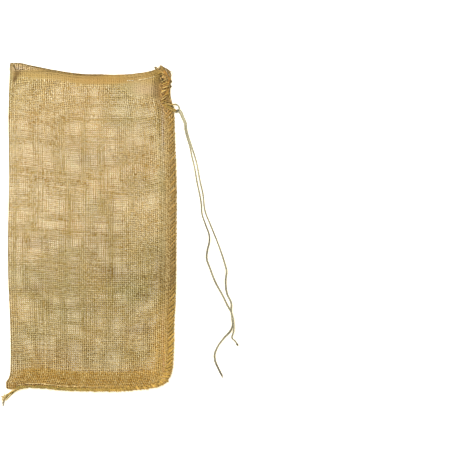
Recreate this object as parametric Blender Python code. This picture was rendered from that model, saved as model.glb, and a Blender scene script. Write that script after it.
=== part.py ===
"""An empty hessian sandbag lying flat on its back, with its twine tie and the tail of its sewing thread.

+X is the sack's width, +Y runs from the sewn bottom to the open mouth and +Z is up, in metres.
The origin is on the floor, under the middle of the sack's outline.
The sack is one length of cloth, folded along its left side and sewn over its right side and bottom.
"""

import bmesh
import bpy
import numpy as np

MM = 0.001

# Driving dimensions of the sack
WIDTH = 0.356  # of the rectangle that the outline is measured from
LENGTH = 0.692
USUAL_WIDTH = 0.353  # of the sack itself at most heights
USUAL_LENGTH = 0.665  # and along its middle
CLOTH = 0.002  # thickness of one layer

# Heights above the floor
BODY_TOP = 0.0106  # top of the front layer, over the hollow
EDGE_TOP = 0.0044  # two layers pressed together by the stitches
FOLD_TOP = 0.0050  # the nose of the folded side
EDGE_MIDDLE = 0.0022  # the height at which the outline is widest
NOSE = 0.0012  # how far the edge rounds in above and below that height

# Sewn edges, measured inwards from the outline
SIDE_SEAM = 0.023  # the outline to the row of needle holes, on the right
BOTTOM_SEAM = 0.0125  # the same, along the bottom
SEAM_BEAD = 0.0019  # how far the wrapped edge swells above EDGE_TOP
SIDE_RISE = 0.018  # from the needle row up to the body's height
BOTTOM_RISE = 0.024
FOLD_RISE = 0.026

# Where the hollow between the layers starts, measured inwards from the outline
HOLLOW_AT_FOLD = 0.003
HOLLOW_AT_SIDE = SIDE_SEAM + 0.003
HOLLOW_AT_BOTTOM = BOTTOM_SEAM + 0.003

# Hems, turned in the cloth itself
BOTTOM_HEM = 0.044
MOUTH_HEM = 0.0125
HEM_STEP = 0.0010  # how far a hem stands above the single cloth
HEM_FADE = 0.003  # over this width

# The grid that the cloth is built on: its lines near each edge, by their distance in from it, and
# the spacing of the even ones between them
GRID_PITCH = 0.0165
FOLD_LINES = (NOSE, HOLLOW_AT_FOLD, 0.007, 0.012, 0.018, FOLD_RISE)
SIDE_LINES = (
    NOSE, 0.25 * SIDE_SEAM, 0.5 * SIDE_SEAM, 0.75 * SIDE_SEAM, SIDE_SEAM, HOLLOW_AT_SIDE,
    0.031, 0.036, SIDE_SEAM + SIDE_RISE, 0.050,
)  # fmt: skip
BOTTOM_LINES = (
    NOSE, 0.3 * BOTTOM_SEAM, 0.6 * BOTTOM_SEAM, BOTTOM_SEAM, HOLLOW_AT_BOTTOM,
    0.021, 0.027, 0.034, BOTTOM_HEM - HEM_FADE, BOTTOM_HEM, 0.055,
)  # fmt: skip
MOUTH_LINES = (0, 0.005, MOUTH_HEM - HEM_FADE, MOUTH_HEM, 0.022)

# Twine
TWINE = 0.0024
TAIL = 0.0042
OFF_FLOOR = 0.00005  # kept under twine that lies on the floor
TIE_PINCH = (0.2535, 0.013)  # y and half width of the stretch of seam that the tie flattens
STRAND_POINTS = 80
HITCH_POINTS = 44
TAIL_POINTS = 14

SHARP_ANGLE = np.radians(40)  # edges of the cloth sharper than this aren't shaded smooth

# How the outline strays from a rectangle of WIDTH x LENGTH, in mm.
# Each side's two ends are the corners that it shares with its neighbours.
LEFT_SIDE = (  # up from the bottom, in from the left
    (7, -2), (15, -3), (22, -2.5), (27, 0.5), (33, 3.5), (43, 5.5), (60, 6), (90, 6.5), (130, 5.5),
    (170, 4), (205, 2.5), (240, 1), (290, 0.5), (345, 0.5), (400, 1.5), (455, 2.5), (510, 2),
    (570, 1.5), (610, 2), (638, 2.5), (657, 4), (676, 5), (692, 7),
)  # fmt: skip
RIGHT_SIDE = (  # up from the bottom, in from the right
    (21.5, 22), (27.5, 18.5), (34, 15), (42.5, 11.5), (53, 9.5), (72, 8), (105, 6.5), (150, 6),
    (200, 3.5), (250, 2.5), (310, 2), (370, 1.5), (430, 1.5), (475, 2.5), (520, 4.5), (560, 5.5),
    (588, 7), (605, 10), (618, 13.5), (632, 15), (648, 14), (660, 13), (668, 13.5), (674, 16.5),
    (677.5, 23.5),
)  # fmt: skip
MOUTH = (  # across from the left, down from the top
    (7, 0), (14, 0), (22, 0), (31, 1), (44, 4.5), (60, 8), (80, 12), (104, 16.5), (130, 20),
    (158, 23), (190, 24), (220, 25), (247, 24.5), (270, 22.5), (289, 19.5), (304, 16), (314, 11.5),
    (320, 9), (326, 10.5), (332.5, 14.5),
)  # fmt: skip
BOTTOM = (  # across from the left, up from the bottom
    (-2, 7), (8, 5.5), (18, 5.5), (27, 6.5), (37, 8.5), (52, 9), (70, 8.5), (90, 7), (110, 4.5),
    (130, 3), (160, 2.5), (200, 2), (235, 2), (256, 3), (275, 5), (292, 6.5), (304, 9), (314, 11),
    (320.5, 13.5), (327, 17), (334, 21.5),
)  # fmt: skip

# The front layer's main folds, in mm: a straight ridge or trough from one end to the other.
FOLDS = (  # x and y of each end, half width, rise
    ((108, 276), (146, 281), 7, 1.6),  # below the mouth, at the seam
    ((54, 199), (149, 222), 8, 1.4),  # drawn from the tie
    ((66, 224), (148, 238), 7, 1.2),
    ((96, 168), (150, 178), 9, 0.8),
    ((-168, 180), (-104, 177), 8, 1.2),  # across the folded side
    ((-165, 316), (-168, 300), 6, 1.6),  # the tucked corner of the mouth
    ((-176, -127), (-112, -131), 8, -0.7),
    ((-91, -146), (-90, -182), 6, 0.9),
    ((92, -137), (128, -152), 12, 1.4),
    ((60, -190), (142, -142), 12, -0.7),
    ((92, -226), (124, -206), 12, 1.3),
    ((-60, 60), (70, 40), 30, 0.8),
    ((-120, -60), (20, -100), 32, 0.7),
)

# The tie's routes, in mm: x, y and height above the floor of the twine's middle.
HITCH_ROUTE = (
    (153.0, 260.6, 7.2), (160.0, 258.4, 7.0), (166.6, 256.8, 6.8), (171.4, 258.0, 6.4),
    (175.6, 258.6, 4.6), (179.4, 256.2, 2.8), (182.2, 251.4, 1.6), (181.6, 246.6, 1.3),
    (178.2, 243.2, 2.0), (174.2, 242.8, 5.6), (169.4, 245.0, 6.9), (161.0, 249.6, 6.8),
    (153.6, 253.4, 6.7),
)  # fmt: skip
LEFT_STRAND_ROUTE = (
    (180.4, 244.2, 4.3), (184.4, 238.8, 2.6), (187.6, 231.2, 1.3), (192.5, 220.7, 1.3),
    (194.8, 203.9, 1.3), (198.6, 189.2, 1.3), (204.9, 168.2, 1.3), (208.0, 152.5, 1.3),
    (214.3, 126.0, 1.3), (218.7, 99.8, 1.3), (228.4, 49.6, 1.3), (229.9, 29.0, 1.3),
    (237.2, 6.9, 1.3), (245.4, -18.1, 1.3), (245.6, -28.6, 1.3), (241.6, -46.2, 1.3),
    (239.7, -63.8, 1.3), (246.9, -85.9, 1.3), (258.6, -115.7, 1.3), (272.7, -141.5, 1.3),
    (283.5, -163.4, 2.4), (292.0, -179.4, 4.0), (296.4, -199.5, 4.0), (296.8, -212.0, 3.9),
    (295.6, -221.0, 2.6), (293.1, -231.8, 1.3), (300.0, -238.6, 1.3), (304.4, -246.1, 1.3),
)  # fmt: skip
RIGHT_STRAND_ROUTE = (
    (182.6, 248.2, 4.3), (187.2, 242.4, 2.6), (190.8, 233.0, 1.3), (195.7, 222.2, 1.3),
    (198.0, 204.8, 1.3), (201.6, 190.6, 1.3), (207.4, 172.6, 1.3), (213.2, 154.9, 1.3),
    (219.2, 133.4, 1.3), (225.3, 99.8, 1.3), (231.4, 73.3, 1.3), (237.2, 31.9, 1.3),
    (246.0, 9.9, 1.3), (255.7, -13.7, 1.3), (264.5, -36.0, 1.3), (277.7, -75.6, 1.3),
    (281.5, -90.7, 1.3), (279.6, -110.9, 1.3), (282.4, -138.2, 1.3), (291.6, -160.0, 1.3),
    (291.4, -174.6, 1.3), (293.2, -192.0, 1.3), (294.2, -206.0, 1.3), (290.4, -215.6, 1.3),
    (276.7, -231.2, 1.3), (262.2, -251.4, 1.3), (256.6, -266.7, 1.3), (257.8, -280.4, 1.3),
    (263.3, -293.6, 1.3), (271.6, -310.0, 1.3),
)  # fmt: skip
TAIL_ROUTE = (
    (-165.4, -342.8, 2.2), (-170.4, -346.4, 2.2), (-175.9, -350.6, 2.2), (-180.5, -355.7, 2.2),
    (-183.4, -360.9, 2.2), (-185.5, -367.0, 2.2), (-187.6, -374.2, 2.2),
)  # fmt: skip

# Colours: base colour, roughness
JUTE_CLOTH = ((0.53, 0.39, 0.20, 1), 0.9)
JUTE_TWINE = ((0.36, 0.32, 0.21, 1), 0.85)
JUTE_THREAD = ((0.45, 0.31, 0.11, 1), 0.85)


def smooth_line(points, fractions):
    """Where a smooth line through the points is, at these fractions of its length."""
    points = np.array(points, float)
    steps = np.linalg.norm(np.diff(points, axis=0), axis=1)
    at = np.concatenate([[0], np.cumsum(steps)]) / steps.sum()
    slopes = np.gradient(points, at, axis=0)
    fractions = np.atleast_1d(fractions)
    i = np.clip(np.searchsorted(at, fractions, side="right") - 1, 0, len(at) - 2)
    span = (at[i + 1] - at[i])[:, None]
    t = (fractions - at[i])[:, None] / span
    start, end = points[i], points[i + 1]
    leave, arrive = slopes[i] * span, slopes[i + 1] * span
    bend = (3 * t**2 - 2 * t**3) * (end - start)
    return start + bend + t * (1 - t) * ((1 - t) * leave - t * arrive)


def side(rows, place):
    """The points of one side of the outline, from its table in mm."""
    return [place(along * MM, stray * MM) for along, stray in rows]


LEFT_POINTS = side(LEFT_SIDE, lambda up, inward: (inward - WIDTH / 2, up - LENGTH / 2))
RIGHT_POINTS = side(RIGHT_SIDE, lambda up, inward: (WIDTH / 2 - inward, up - LENGTH / 2))
MOUTH_POINTS = side(MOUTH, lambda across, down: (across - WIDTH / 2, LENGTH / 2 - down))
BOTTOM_POINTS = side(BOTTOM, lambda across, up: (across - WIDTH / 2, up - LENGTH / 2))


def on_cloth(u, v):
    """The point u across and v up the sack's outline, from 0 to 1: a patch between its four sides."""
    left, right = smooth_line(LEFT_POINTS, v), smooth_line(RIGHT_POINTS, v)
    bottom, mouth = smooth_line(BOTTOM_POINTS, u), smooth_line(MOUTH_POINTS, u)
    u, v = np.atleast_1d(u)[:, None], np.atleast_1d(v)[:, None]
    low_corners = (1 - u) * np.array(BOTTOM_POINTS[0]) + u * np.array(BOTTOM_POINTS[-1])
    high_corners = (1 - u) * np.array(MOUTH_POINTS[0]) + u * np.array(MOUTH_POINTS[-1])
    corners = (1 - v) * low_corners + v * high_corners
    return (1 - u) * left + u * right + (1 - v) * bottom + v * mouth - corners


def ease(x, start, width):
    """0 before start, 1 past start + width, and smooth between."""
    t = np.clip((x - start) / width, 0, 1)
    return t * t * (3 - 2 * t)


def fold_heights(place):
    """The height that the main folds add."""
    height = np.zeros(len(place))
    for start, end, half_width, rise in FOLDS:
        start, end = np.array(start) * MM, np.array(end) * MM
        along = end - start
        t = np.clip((place - start) @ along / (along @ along), 0, 1)
        away = np.linalg.norm(place - start - t[:, None] * along, axis=1)
        height += rise * MM * np.exp(-((away / (half_width * MM)) ** 2))
    return height


def front_height(u, v):
    """The height of the front layer's top above the floor."""
    place = on_cloth(u, v)
    from_fold = np.linalg.norm(place - on_cloth(0 * u, v), axis=1)
    from_side = np.linalg.norm(place - on_cloth(0 * u + 1, v), axis=1)
    from_bottom = np.linalg.norm(place - on_cloth(u, 0 * v), axis=1)
    from_mouth = np.linalg.norm(place - on_cloth(u, 0 * v + 1), axis=1)
    unsewn = ease(from_side, SIDE_SEAM, SIDE_RISE) * ease(from_bottom, BOTTOM_SEAM, BOTTOM_RISE)
    hollow = unsewn * ease(from_fold, 0, FOLD_RISE)
    edge = EDGE_TOP + (FOLD_TOP - EDGE_TOP) * unsewn
    height = edge + (BODY_TOP - edge) * hollow + hollow * fold_heights(place)
    across_bead = np.minimum(np.minimum(from_side / SIDE_SEAM, from_bottom / BOTTOM_SEAM), 1)
    pinch_y, pinch_half = TIE_PINCH
    swell = 1 - np.exp(-(((place[:, 1] - pinch_y) / pinch_half) ** 4))
    height += SEAM_BEAD * np.sin(np.pi * across_bead) * swell
    bottom_hem = ease(from_bottom, BOTTOM_SEAM, HEM_FADE)
    bottom_hem = bottom_hem * (1 - ease(from_bottom, BOTTOM_HEM - HEM_FADE, HEM_FADE))
    mouth_hem = 1 - ease(from_mouth, MOUTH_HEM - HEM_FADE, HEM_FADE)
    return height + HEM_STEP * (bottom_hem + mouth_hem * unsewn)


def grid_lines(total, near_start, near_end):
    """Fractions of a side at which the grid's lines cross it."""
    first, last = near_start[-1], total - near_end[-1]
    count = round((last - first) / GRID_PITCH)
    middle = np.linspace(first, last, count + 1)[1:-1]
    ends = [total - x for x in reversed(near_end)]
    return np.array([*near_start, *middle, *ends]) / total


def add_points(mesh, place, height):
    """New points at these places on the plan, at one height or a height each."""
    heights = np.broadcast_to(height, len(place))
    return [mesh.verts.new((x, y, z)) for (x, y), z in zip(place, heights)]


def below(mesh, points, height):
    """New points straight below these, at a height."""
    return [mesh.verts.new((p.co.x, p.co.y, height)) for p in points]


def add_strip(mesh, first, second):
    """A row of four-sided faces between two rows of points."""
    for i in range(len(first) - 1):
        mesh.faces.new((first[i], first[i + 1], second[i + 1], second[i]))


def outline_row(points, columns, rows):
    """The points along a grid's left side from its mouth down, its bottom, and its right side up."""
    return (
        [points[0][j] for j in reversed(range(rows))]
        + [points[i][0] for i in range(1, columns - 1)]
        + [points[columns - 1][j] for j in range(rows)]
    )


def add_surface(mesh, us, vs, height):
    """A grid of points and faces at the given heights, as points[column][row]."""
    points = [add_points(mesh, on_cloth(0 * vs + u, vs), height(0 * vs + u, vs)) for u in us]
    for i in range(len(us) - 1):
        add_strip(mesh, points[i], points[i + 1])
    return points


def add_cloth(mesh):
    """The whole sack: outer skin, the hollow's skin, and the lips between them at the mouth."""
    us = grid_lines(USUAL_WIDTH, FOLD_LINES, SIDE_LINES)
    vs = grid_lines(USUAL_LENGTH, BOTTOM_LINES, MOUTH_LINES)
    left = FOLD_LINES.index(HOLLOW_AT_FOLD)
    right = len(us) - 1 - SIDE_LINES.index(HOLLOW_AT_SIDE)
    low = BOTTOM_LINES.index(HOLLOW_AT_BOTTOM)
    outer = add_surface(mesh, us, vs, front_height)
    inner_us, inner_vs = us[left : right + 1], vs[low:]
    inner = add_surface(mesh, inner_us, inner_vs, lambda u, v: front_height(u, v) - CLOTH)

    # The outer edge: from the front layer round the outline to the floor.
    edge_u = np.array([0.0] * len(vs) + list(us[1:-1]) + [1.0] * len(vs))
    edge_v = np.array([*vs[:0:-1], *([0.0] * len(us)), *vs[1:]])
    edge = add_points(mesh, on_cloth(edge_u, edge_v), EDGE_MIDDLE)
    top_edge = outline_row(outer, len(us), len(vs))
    floor_edge = below(mesh, top_edge, 0)
    add_strip(mesh, top_edge, edge)
    add_strip(mesh, edge, floor_edge)

    # The hollow's edge: a low wall down to the back layer.
    roof_edge = outline_row(inner, len(inner_us), len(inner_vs))
    back_edge = below(mesh, roof_edge, CLOTH)
    add_strip(mesh, roof_edge, back_edge)

    # The mouth: the front lip, the back lip and the two sewn corners.
    mouth_top = [column[-1] for column in outer]
    mouth_floor = [floor_edge[0], *below(mesh, mouth_top[1:-1], 0), floor_edge[-1]]
    roof_lip = [column[-1] for column in inner]
    back_lip = [back_edge[0], *below(mesh, roof_lip[1:-1], CLOTH), back_edge[-1]]
    add_strip(mesh, mouth_top[left : right + 1], roof_lip)
    add_strip(mesh, mouth_floor[left : right + 1], back_lip)
    folded_corner = [edge[0], *mouth_top[: left + 1], roof_lip[0], back_lip[0]]
    sewn_corner = [edge[-1], *mouth_top[: right - 1 : -1], roof_lip[-1], back_lip[-1]]
    mesh.faces.new([*folded_corner, *mouth_floor[left::-1]])
    mesh.faces.new([*sewn_corner, *mouth_floor[right:]])

    # The flat undersides of the hollow and of the sack.
    mesh.faces.new([*back_edge, *back_lip[-2:0:-1]])
    mesh.faces.new([*floor_edge, *mouth_floor[-2:0:-1]])


def material(name, look):
    """A plain material of this colour and roughness."""
    colour, roughness = look
    made = bpy.data.materials.new(name)
    made.use_nodes = True
    shader = made.node_tree.nodes["Principled BSDF"]
    shader.inputs["Base Color"].default_value = colour
    shader.inputs["Roughness"].default_value = roughness
    shader.inputs["Metallic"].default_value = 0
    return made


def add_object(name, data, look):
    """A named object in the scene, with its own material."""
    data.materials.append(material(name, look))
    made = bpy.data.objects.new(name, data)
    bpy.context.scene.collection.objects.link(made)
    return made


def make_sack():
    """The cloth's own object, shaded smooth but for its lips."""
    mesh = bmesh.new()
    add_cloth(mesh)
    bmesh.ops.recalc_face_normals(mesh, faces=mesh.faces)
    data = bpy.data.meshes.new("sack_cloth")
    mesh.to_mesh(data)
    mesh.free()
    data.shade_smooth()
    data.set_sharp_from_angle(angle=SHARP_ANGLE)
    return add_object("sack_cloth", data, JUTE_CLOTH)


def make_twine(name, route, points, thickness, look):
    """A round length of twine along a smooth route that never dips into the floor."""
    line = smooth_line(np.array(route) * MM, np.linspace(0, 1, points))
    line[:, 2] = np.maximum(line[:, 2], thickness / 2 + OFF_FLOOR)
    curve = bpy.data.curves.new(name, "CURVE")
    curve.dimensions = "3D"
    curve.bevel_depth = thickness / 2
    curve.bevel_resolution = 2
    curve.use_fill_caps = True
    spline = curve.splines.new("POLY")
    spline.points.add(points - 1)
    for point, place in zip(spline.points, line):
        point.co = (*place, 1)
    return add_object(name, curve, look)


def build():
    for old in list(bpy.data.objects):
        bpy.data.objects.remove(old, do_unlink=True)
    make_sack()
    make_twine("tie_hitch", HITCH_ROUTE, HITCH_POINTS, TWINE, JUTE_TWINE)
    make_twine("tie_strand_left", LEFT_STRAND_ROUTE, STRAND_POINTS, TWINE, JUTE_TWINE)
    make_twine("tie_strand_right", RIGHT_STRAND_ROUTE, STRAND_POINTS, TWINE, JUTE_TWINE)
    make_twine("thread_tail", TAIL_ROUTE, TAIL_POINTS, TAIL, JUTE_THREAD)


build()
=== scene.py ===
"""Looks of the hessian sack: two woven layers of one folded cloth, its hems, the sewing over its
edges, its twine tie and the loose fibres. Lengths are metres unless a name or a table says mm."""

import math

import bpy
import numpy as np
from mathutils.bvhtree import BVHTree
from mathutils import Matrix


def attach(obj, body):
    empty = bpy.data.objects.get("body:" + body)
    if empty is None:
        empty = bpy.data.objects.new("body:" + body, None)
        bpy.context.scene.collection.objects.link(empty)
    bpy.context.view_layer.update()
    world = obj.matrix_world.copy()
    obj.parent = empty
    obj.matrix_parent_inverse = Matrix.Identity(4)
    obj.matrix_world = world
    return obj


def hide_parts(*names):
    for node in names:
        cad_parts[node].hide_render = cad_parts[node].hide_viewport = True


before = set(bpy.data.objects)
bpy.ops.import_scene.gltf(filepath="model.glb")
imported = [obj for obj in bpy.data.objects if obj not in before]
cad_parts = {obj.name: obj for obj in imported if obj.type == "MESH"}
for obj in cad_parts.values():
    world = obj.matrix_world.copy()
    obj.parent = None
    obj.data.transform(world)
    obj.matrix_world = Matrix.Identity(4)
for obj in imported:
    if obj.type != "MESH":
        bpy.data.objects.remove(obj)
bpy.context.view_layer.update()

MM = 0.001
UP = np.array([0, 0, 1.0])
FLOOR_GAP = 0.00002  # the least height of any point
MAP_MARGIN = 0.004  # left free round the bake's map
TINY = 1e-12

# ---- the sack's form, as in its solid
WIDTH = 0.356
LENGTH = 0.692
EDGE_TOP = 0.0044  # the height of the top at the sewn edges
FOLD_TOP = 0.005  # at the folded side
BODY_TOP = 0.0106  # and at the middle
SIDE_SEAM = 0.023
BOTTOM_SEAM = 0.0125
SEAM_BEAD = 0.0019
SIDE_RISE = 0.018
BOTTOM_RISE = 0.024
FOLD_RISE = 0.026
BOTTOM_HEM = 0.044
MOUTH_HEM = 0.0125
HEM_STEP = 0.001
HEM_FADE = 0.003
HEM_DIP = 0.007  # how much deeper the mouth's hem reaches near its middle
HEM_DIP_X = 0.005
HEM_DIP_HALF = 0.055
TIE_PINCH = (0.2535, 0.013)  # where the tie presses the seam's bead flat: y, half length

LEFT_SIDE = (  # mm: up from the bottom, in from the left
    (7, -2), (15, -3), (22, -2.5), (27, 0.5), (33, 3.5), (43, 5.5), (60, 6), (90, 6.5), (130, 5.5),
    (170, 4), (205, 2.5), (240, 1), (290, 0.5), (345, 0.5), (400, 1.5), (455, 2.5), (510, 2),
    (570, 1.5), (610, 2), (638, 2.5), (657, 4), (676, 5), (692, 7),
)
RIGHT_SIDE = (  # mm: up from the bottom, in from the right
    (21.5, 22), (27.5, 18.5), (34, 15), (42.5, 11.5), (53, 9.5), (72, 8), (105, 6.5), (150, 6),
    (200, 3.5), (250, 2.5), (310, 2), (370, 1.5), (430, 1.5), (475, 2.5), (520, 4.5), (560, 5.5),
    (588, 7), (605, 10), (618, 13.5), (632, 15), (648, 14), (660, 13), (668, 13.5), (674, 16.5),
    (677.5, 23.5),
)
MOUTH = (  # mm: across from the left, down from the top
    (7, 0), (14, 0), (22, 0), (31, 1), (44, 4.5), (60, 8), (80, 12), (104, 16.5), (130, 20),
    (158, 23), (190, 24), (220, 25), (247, 24.5), (270, 22.5), (289, 19.5), (304, 16), (314, 11.5),
    (320, 9), (326, 10.5), (332.5, 14.5),
)
BOTTOM = (  # mm: across from the left, up from the bottom
    (-2, 7), (8, 5.5), (18, 5.5), (27, 6.5), (37, 8.5), (52, 9), (70, 8.5), (90, 7), (110, 4.5),
    (130, 3), (160, 2.5), (200, 2), (235, 2), (256, 3), (275, 5), (292, 6.5), (304, 9), (314, 11),
    (320.5, 13.5), (327, 17), (334, 21.5),
)
FOLDS = (  # mm: x and y of each end, half width, rise
    ((108, 276), (146, 281), 7, 1.6),
    ((54, 199), (149, 222), 8, 1.4),
    ((66, 224), (148, 238), 7, 1.2),
    ((96, 168), (150, 178), 9, 0.8),
    ((-168, 180), (-104, 177), 8, 1.2),
    ((-165, 316), (-168, 300), 6, 1.6),
    ((-176, -127), (-112, -131), 8, -0.7),
    ((-91, -146), (-90, -182), 6, 0.9),
    ((92, -137), (128, -152), 12, 1.4),
    ((60, -190), (142, -142), 12, -0.7),
    ((92, -226), (124, -206), 12, 1.3),
    ((-60, 60), (70, 40), 30, 0.8),
    ((-120, -60), (20, -100), 32, 0.7),
)

# ---- the tie and the thread's tail
TWINE_REST = 1.3  # mm: the height of its middle where it lies on the floor
HITCH_ROUTE = (  # mm: x, y and height of the twine's middle
    (153, 260.6, 7.2), (160, 258.4, 7), (166.6, 256.8, 6.8), (171.4, 258, 6.4),
    (175.6, 258.6, 4.6), (179.4, 256.2, 2.8), (182.2, 251.4, 1.6), (181.6, 246.6, 1.3),
    (178.2, 243.2, 2), (174.2, 242.8, 5.6), (169.4, 245, 6.9), (161, 249.6, 6.8),
    (153.6, 253.4, 6.7),
)
LEFT_STRAND_ROUTE = (
    (180.4, 244.2, 4.3), (184.4, 238.8, 2.6), (187.6, 231.2), (192.5, 220.7), (194.8, 203.9),
    (198.6, 189.2), (204.9, 168.2), (208, 152.5), (214.3, 126), (218.7, 99.8), (228.4, 49.6),
    (229.9, 29), (237.2, 6.9), (245.4, -18.1), (245.6, -28.6), (241.6, -46.2), (239.7, -63.8),
    (246.9, -85.9), (258.6, -115.7), (272.7, -141.5), (283.5, -163.4, 2.4), (292, -179.4, 4),
    (296.4, -199.5, 4), (296.8, -212, 3.9), (295.6, -221, 2.6), (293.1, -231.8), (300, -238.6),
    (304.4, -246.1),
)
RIGHT_STRAND_ROUTE = (
    (182.6, 248.2, 4.3), (187.2, 242.4, 2.6), (190.8, 233), (195.7, 222.2), (198, 204.8),
    (201.6, 190.6), (207.4, 172.6), (213.2, 154.9), (219.2, 133.4), (225.3, 99.8), (231.4, 73.3),
    (237.2, 31.9), (246, 9.9), (255.7, -13.7), (264.5, -36), (277.7, -75.6), (281.5, -90.7),
    (279.6, -110.9), (282.4, -138.2), (291.6, -160), (291.4, -174.6), (293.2, -192), (294.2, -206),
    (290.4, -215.6), (276.7, -231.2), (262.2, -251.4), (256.6, -266.7), (257.8, -280.4),
    (263.3, -293.6), (271.6, -310),
)
TAIL_ROUTE = (
    (-165.4, -342.8, 2.2), (-170.4, -346.4, 2.2), (-175.9, -350.6, 2.2), (-180.5, -355.7, 2.2),
    (-183.4, -360.9, 2.2), (-185.5, -367, 2.2), (-187.6, -374.2, 2.2),
)


# ---- form
def unit(vectors):
    """The vectors at a length of 1."""
    return vectors / np.maximum(np.linalg.norm(vectors, axis=-1, keepdims=True), TINY)


def distances(points):
    """How far along a line each of its points is."""
    return np.concatenate([[0], np.cumsum(np.linalg.norm(np.diff(points, axis=0), axis=1))])


def smooth_line(points, fractions):
    """Where a smooth line through the points is, at these fractions of its length."""
    points = np.array(points, float)
    at = distances(points) / distances(points)[-1]
    slopes = np.gradient(points, at, axis=0)
    fractions = np.atleast_1d(fractions)
    i = np.clip(np.searchsorted(at, fractions, side="right") - 1, 0, len(at) - 2)
    span = (at[i + 1] - at[i])[:, None]
    t = (fractions - at[i])[:, None] / span
    start, end = points[i], points[i + 1]
    leave, arrive = slopes[i] * span, slopes[i + 1] * span
    bend = (3 * t**2 - 2 * t**3) * (end - start)
    return start + bend + t * (1 - t) * ((1 - t) * leave - t * arrive)


def side(rows, place):
    """The points of one side of the outline, from its table in mm."""
    return [place(along * MM, stray * MM) for along, stray in rows]


LEFT_POINTS = side(LEFT_SIDE, lambda up, inward: (inward - WIDTH / 2, up - LENGTH / 2))
RIGHT_POINTS = side(RIGHT_SIDE, lambda up, inward: (WIDTH / 2 - inward, up - LENGTH / 2))
MOUTH_POINTS = side(MOUTH, lambda across, down: (across - WIDTH / 2, LENGTH / 2 - down))
BOTTOM_POINTS = side(BOTTOM, lambda across, up: (across - WIDTH / 2, up - LENGTH / 2))


def blend(first, second, share):
    """The first where share is 0 and the second where it is 1."""
    return first * (1 - share) + second * share


def on_cloth(u, v):
    """The point u across and v up the sack's outline, from 0 to 1, for arrays of any one shape."""
    shape = np.shape(u)
    u, v = np.ravel(u), np.ravel(v)
    left, right = smooth_line(LEFT_POINTS, v), smooth_line(RIGHT_POINTS, v)
    bottom, mouth = smooth_line(BOTTOM_POINTS, u), smooth_line(MOUTH_POINTS, u)
    u, v = u[:, None], v[:, None]
    low_corners = blend(np.array(BOTTOM_POINTS[0]), np.array(BOTTOM_POINTS[-1]), u)
    high_corners = blend(np.array(MOUTH_POINTS[0]), np.array(MOUTH_POINTS[-1]), u)
    corners = blend(low_corners, high_corners, v)
    place = (1 - u) * left + u * right + (1 - v) * bottom + v * mouth - corners
    return place.reshape(*shape, 2)


def ease(x, start, width):
    """0 before start, 1 past start + width, and smooth between."""
    t = np.clip((x - start) / width, 0, 1)
    return t * t * (3 - 2 * t)


def between(x, rise, rise_width, fall, fall_width):
    """1 between a rise and a fall, each eased over its width, and 0 outside them."""
    return ease(x, rise, rise_width) * (1 - ease(x, fall, fall_width))


def hill(x, middle, half_width):
    """1 at the middle, and less the further from it."""
    return np.exp(-(((x - middle) / half_width) ** 2))


def edge_distances(u, v):
    """The places of points, and how far they are from the fold, the side, the bottom and the mouth."""
    place = on_cloth(u, v)
    edges = ((0 * u, v), (0 * u + 1, v), (u, 0 * v), (u, 0 * v + 1))
    return place, [np.linalg.norm(place - on_cloth(*edge), axis=-1) for edge in edges]


def fold_heights(place):
    """The height that the main folds add."""
    height = np.zeros(place.shape[:-1])
    for start, end, half_width, rise in FOLDS:
        start, end = np.array(start) * MM, np.array(end) * MM
        along = end - start
        t = np.clip((place - start) @ along / (along @ along), 0, 1)
        away = np.linalg.norm(place - start - t[..., None] * along, axis=-1)
        height += rise * MM * hill(away, 0, half_width * MM)
    return height


def front_height(u, v):
    """The height of the front layer's top above the floor."""
    place, (from_fold, from_side, from_bottom, from_mouth) = edge_distances(u, v)
    unsewn = ease(from_side, SIDE_SEAM, SIDE_RISE) * ease(from_bottom, BOTTOM_SEAM, BOTTOM_RISE)
    hollow = unsewn * ease(from_fold, 0, FOLD_RISE)
    edge = EDGE_TOP + (FOLD_TOP - EDGE_TOP) * unsewn
    height = edge + (BODY_TOP - edge) * hollow + hollow * fold_heights(place)
    across_bead = np.minimum(np.minimum(from_side / SIDE_SEAM, from_bottom / BOTTOM_SEAM), 1)
    pinch_y, pinch_half = TIE_PINCH
    swell = 1 - np.exp(-(((place[..., 1] - pinch_y) / pinch_half) ** 4))
    height += SEAM_BEAD * np.sin(np.pi * across_bead) * swell
    bottom_hem = between(from_bottom, BOTTOM_SEAM, HEM_FADE, BOTTOM_HEM - HEM_FADE, HEM_FADE)
    mouth_hem = 1 - ease(from_mouth, MOUTH_HEM - HEM_FADE, HEM_FADE)
    return height + HEM_STEP * (bottom_hem + mouth_hem * unsewn)


NOISE_CELLS = 97  # the noise repeats after this many cells
NOISE_START = 500  # cells, so that places left of the middle have one too


def noise(x, y, cell_x, cell_y, seed):
    """Smooth noise from -1 to 1 that changes over about a cell."""
    table = np.random.RandomState(seed).uniform(-1, 1, (NOISE_CELLS, NOISE_CELLS))
    gx, gy = x / cell_x + NOISE_START, y / cell_y + NOISE_START
    i, j = np.floor(gx).astype(int), np.floor(gy).astype(int)
    across, up = ease(gx - i, 0, 1), ease(gy - j, 0, 1)

    def row(j):
        left, right = (table[cell % NOISE_CELLS, j % NOISE_CELLS] for cell in (i, i + 1))
        return blend(left, right, across)

    return blend(row(j), row(j + 1), up)


def noise_along(x, cell, seed, row=0):
    """Smooth noise along one line of the table."""
    return noise(x, 0 * x + row, cell, 1, seed)


def toned(colour, tone):
    """Jute made paler where tone is over 1 and both darker and richer where it is under."""
    return np.clip(colour, 0.001, 0.999) ** (1 / tone**1.5)


# ---- meshes
def add_object(name, data):
    """A new object in the scene."""
    made = bpy.data.objects.new(name, data)
    bpy.context.scene.collection.objects.link(made)
    return made


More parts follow.
